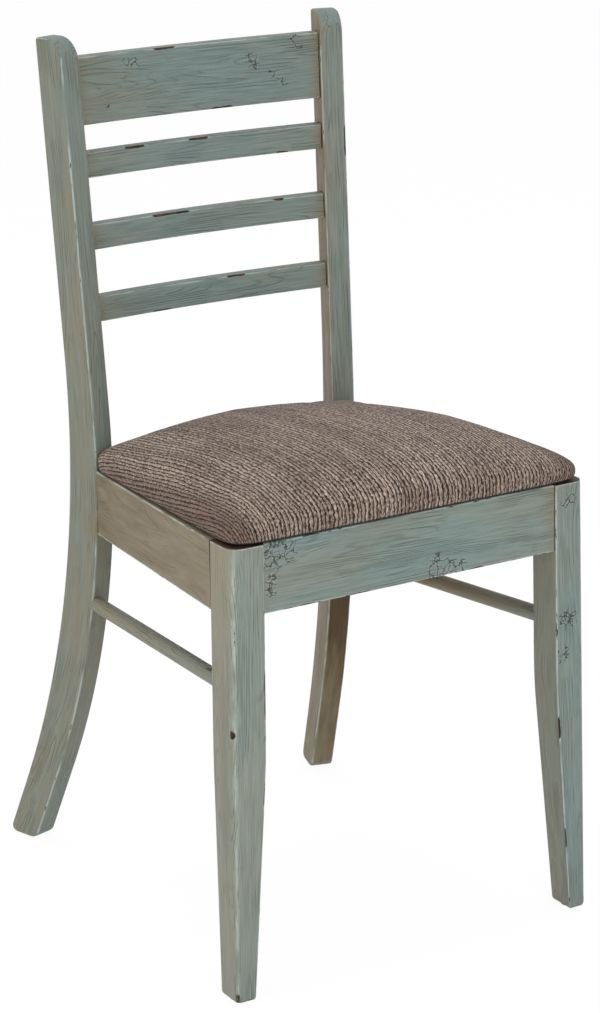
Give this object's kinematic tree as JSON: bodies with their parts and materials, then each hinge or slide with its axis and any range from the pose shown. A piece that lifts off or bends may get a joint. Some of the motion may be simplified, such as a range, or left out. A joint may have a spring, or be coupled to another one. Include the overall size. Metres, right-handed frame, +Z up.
{
  "type": "side chair",
  "caption": "Painted wooden side chair with a ladder back of bowed slats, curved splayed rear legs, side stretchers and a striped upholstered seat pad.",
  "frame": {"origin": "on the floor, under the middle of the chair's outline in plan", "axes": "+Z up, the front of the seat faces -Y, +X to the right as seen from the front, X is the mirror direction"},
  "size_m": [0.4042, 0.4978, 0.858],
  "materials": {
    "painted_wood": "worn matt paint, blue-green grey",
    "bare_wood": "raw",
    "plywood": "raw",
    "foam": "open cell",
    "striped_fabric": "slubby striped weave",
    "lining": "thin black lining",
    "steel": "plain",
    "glide": "matt"
  },
  "bodies": {
    "root": {"block_screws": "steel", "corner_block_front_left": "bare_wood", "corner_block_front_right": "bare_wood", "corner_block_rear_left": "bare_wood", "corner_block_rear_right": "bare_wood", "cover_staples": "steel", "crest_rail": "painted_wood", "dust_cover": "lining", "frame_dowels": "bare_wood", "front_apron": "painted_wood", "front_leg_left": "painted_wood", "front_leg_right": "painted_wood", "glides": "glide", "lower_slat": "painted_wood", "middle_slat": "painted_wood", "rear_apron": "painted_wood", "rear_leg_left": "painted_wood", "rear_leg_right": "painted_wood", "seat_board": "plywood", "seat_cover": "striped_fabric", "seat_foam": "foam", "seat_screws": "steel", "side_apron_left": "painted_wood", "side_apron_right": "painted_wood", "side_stretcher_left": "painted_wood", "side_stretcher_right": "painted_wood", "upper_slat": "painted_wood"}
  },
  "joints": []
}
